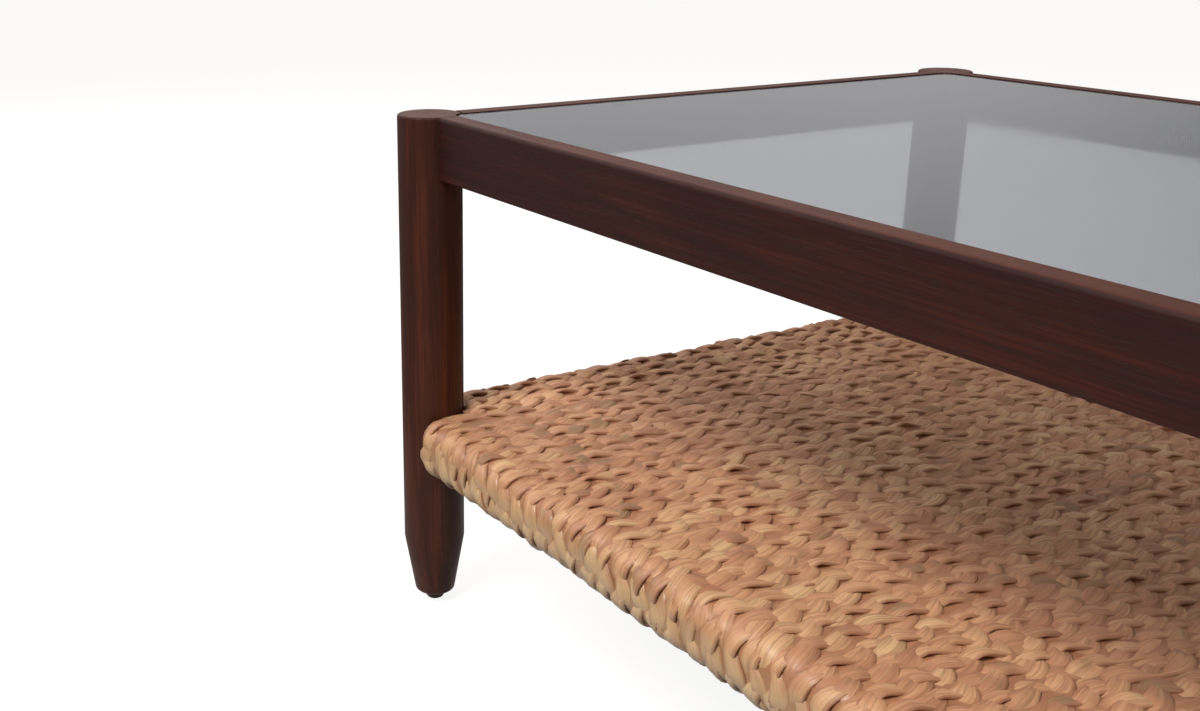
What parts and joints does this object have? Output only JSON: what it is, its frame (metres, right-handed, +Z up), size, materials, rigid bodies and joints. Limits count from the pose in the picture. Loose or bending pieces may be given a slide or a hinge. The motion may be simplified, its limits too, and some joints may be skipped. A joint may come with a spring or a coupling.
{
  "type": "coffee table with glass top and woven shelf",
  "caption": "Low rectangular table: turned dark wood legs, rails holding an inset smoked glass panel, and a lower shelf wound with plaited water hyacinth.",
  "frame": {"origin": "on the floor under the middle of the table", "axes": "+X along the table's length, +Y across it towards the back, +Z up"},
  "size_m": [1.22, 0.616, 0.41],
  "materials": {
    "stained_wood": "dark reddish brown stain under satin lacquer, grain showing through",
    "smoked_glass": "smoked grey clear float glass, polished, ground edges",
    "clear_pad": "clear soft silicone",
    "dark_plastic": "moulded dark brown nylon",
    "plain_wood": "unfinished hardwood",
    "plywood": "unfinished plywood",
    "plaited_fibre": "dry water hyacinth plaits, tan to straw, satin where they turn over the edge"
  },
  "bodies": {
    "frame": {"leg_front_left": "stained_wood", "leg_front_right": "stained_wood", "leg_rear_left": "stained_wood", "leg_rear_right": "stained_wood", "foot_glide_front_left": "dark_plastic", "foot_glide_front_right": "dark_plastic", "foot_glide_rear_left": "dark_plastic", "foot_glide_rear_right": "dark_plastic", "top_rail_front": "stained_wood", "top_rail_rear": "stained_wood", "top_rail_left": "stained_wood", "top_rail_right": "stained_wood", "glass_pad_1": "clear_pad", "glass_pad_2": "clear_pad", "glass_pad_3": "clear_pad", "glass_pad_4": "clear_pad", "glass_pad_5": "clear_pad", "glass_pad_6": "clear_pad", "glass_pad_7": "clear_pad", "glass_pad_8": "clear_pad", "glass_pad_9": "clear_pad", "glass_pad_10": "clear_pad", "shelf_slat_1": "plain_wood", "shelf_slat_2": "plain_wood", "shelf_slat_3": "plain_wood", "shelf_rail_front": "stained_wood", "shelf_rail_rear": "stained_wood", "shelf_rail_left": "stained_wood", "shelf_rail_right": "stained_wood", "shelf_deck": "plywood", "plaited_cover_bay_1": "plaited_fibre", "plaited_cover_bay_2": "plaited_fibre", "plaited_cover_bay_3": "plaited_fibre", "plaited_cover_bay_4": "plaited_fibre", "plaited_cover_bay_5": "plaited_fibre", "plaited_cover_bay_6": "plaited_fibre", "plaited_cover_left_end": "plaited_fibre", "plaited_cover_right_end": "plaited_fibre"},
    "glass": {"glass_top": "smoked_glass"}
  },
  "joints": [
    {"name": "glass_lift", "type": "slide", "parent": "frame", "child": "glass", "axis": [0, 0, 1], "range_m": [0, 0.06]}
  ]
}
